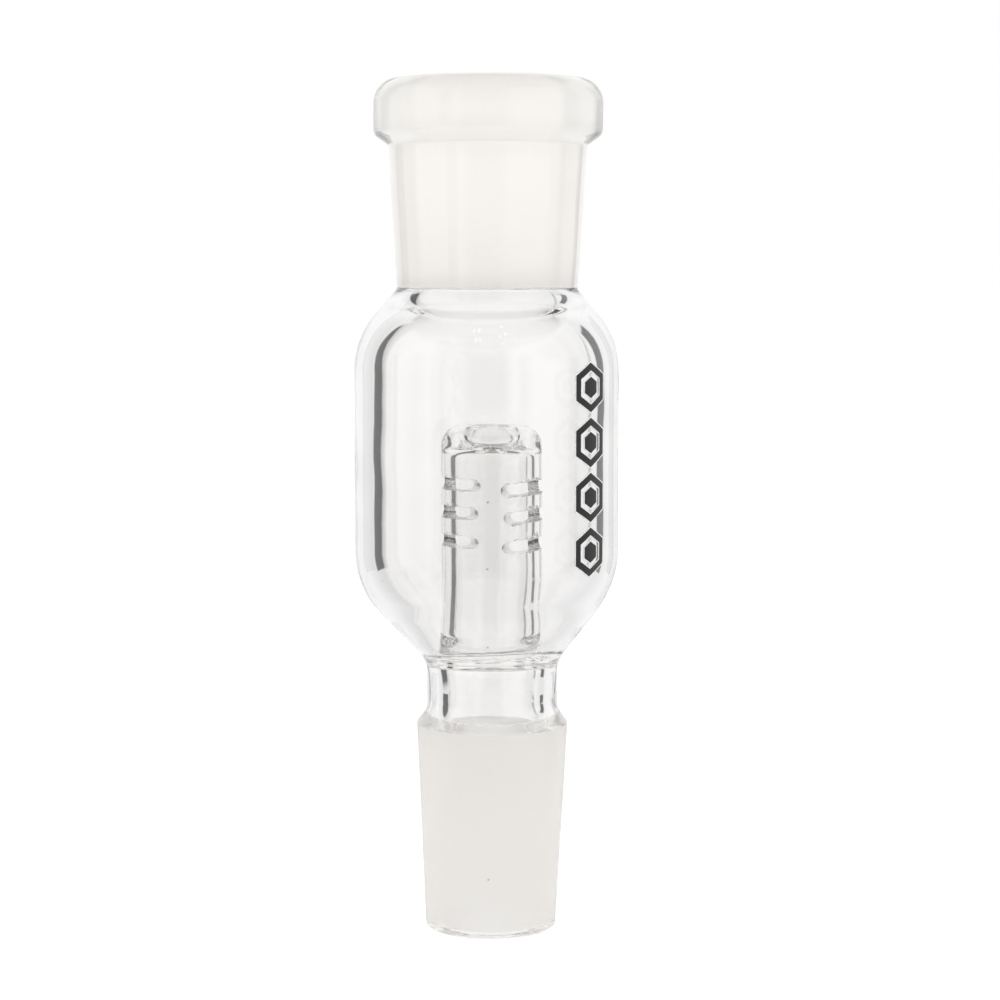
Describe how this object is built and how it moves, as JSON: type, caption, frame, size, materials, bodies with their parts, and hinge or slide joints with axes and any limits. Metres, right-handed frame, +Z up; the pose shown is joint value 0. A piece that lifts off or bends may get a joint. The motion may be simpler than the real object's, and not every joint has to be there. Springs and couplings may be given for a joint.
{
  "type": "ground glass trap adapter",
  "caption": "Clear glass inline trap adapter: ground socket above a bulb that holds a slotted standpipe, then a narrow neck and a ground male cone.",
  "frame": {"origin": "centre of the flat tip of the male cone, which is the face it stands on", "axes": "+Z up along the common axis towards the socket's mouth; -Y is the front, with the printed mark at the front right"},
  "size_m": [0.0326, 0.0326, 0.1054],
  "materials": {
    "clear_glass": "clear, flame-polished borosilicate",
    "ground_glass": "fine ground, frosted white on the taper",
    "black_print": "fired black print"
  },
  "bodies": {
    "root": {"ground_cone": "ground_glass", "neck_tube": "clear_glass", "ring_seal": "clear_glass", "standpipe": "clear_glass", "bulb": "clear_glass", "ground_socket": "ground_glass", "rim_collar": "clear_glass", "printed_mark": "black_print"}
  },
  "joints": []
}
